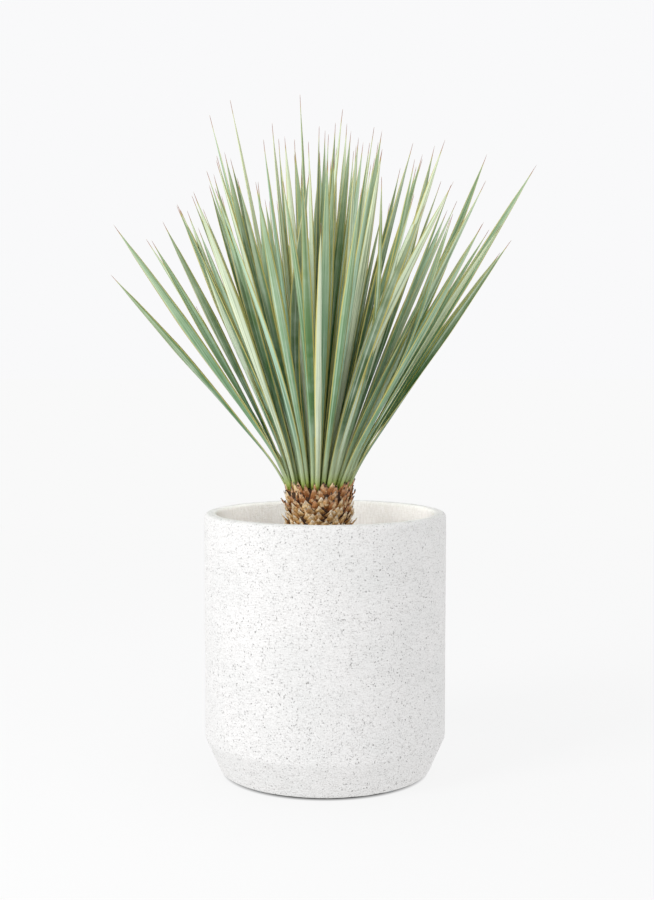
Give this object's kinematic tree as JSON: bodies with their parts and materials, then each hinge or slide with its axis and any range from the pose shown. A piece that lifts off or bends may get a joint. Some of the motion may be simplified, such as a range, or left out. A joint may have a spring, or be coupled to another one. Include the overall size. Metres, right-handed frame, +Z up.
{
  "type": "potted yucca",
  "caption": "Beaked yucca with a round head of narrow blue-green leaves on a short trunk, in a white stoneware pot.",
  "frame": {"origin": "on the pot's axis, at the level of the surface that the pot's pads stand on", "axes": "+Z up along the pot's axis, +X to the right as seen from the front, +Y to the back"},
  "size_m": [0.581, 0.5546, 0.9064],
  "materials": {
    "stoneware": "rough unglazed",
    "clear_rubber": "clear, smooth",
    "net": "moulded",
    "pumice": "rough",
    "potting_mix": "loose, matte",
    "dry_husk": "dry, fibrous",
    "leaf": "waxy, satin"
  },
  "bodies": {
    "root": {"drain_net": "net", "drainage_gravel": "pumice", "foot_pad_1": "clear_rubber", "foot_pad_2": "clear_rubber", "foot_pad_3": "clear_rubber", "foot_pad_4": "clear_rubber", "leaf_000": "leaf", "leaf_001": "leaf", "leaf_002": "leaf", "leaf_003": "leaf", "leaf_005": "leaf", "leaf_006": "leaf", "leaf_007": "leaf", "leaf_008": "leaf", "leaf_012": "leaf", "leaf_015": "leaf", "leaf_017": "leaf", "leaf_018": "leaf", "leaf_021": "leaf", "leaf_024": "leaf", "leaf_031": "leaf", "leaf_034": "leaf", "leaf_036": "leaf", "leaf_037": "leaf", "leaf_042": "leaf", "leaf_043": "leaf", "leaf_045": "leaf", "leaf_046": "leaf", "leaf_049": "leaf", "leaf_054": "leaf", "leaf_058": "leaf", "leaf_060": "leaf", "leaf_061": "leaf", "leaf_064": "leaf", "leaf_066": "leaf", "leaf_075": "leaf", "leaf_076": "leaf", "leaf_078": "leaf", "leaf_081": "leaf", "leaf_082": "leaf", "leaf_090": "leaf", "leaf_091": "leaf", "leaf_096": "leaf", "leaf_100": "leaf", "leaf_108": "leaf", "leaf_109": "leaf", "leaf_112": "leaf", "leaf_115": "leaf", "leaf_118": "leaf", "leaf_124": "leaf", "leaf_127": "leaf", "leaf_130": "leaf", "leaf_133": "leaf", "leaf_136": "leaf", "leaf_139": "leaf", "leaf_140": "leaf", "leaf_142": "leaf", "pot": "stoneware", "soil": "potting_mix", "trunk": "dry_husk"}
  },
  "joints": []
}
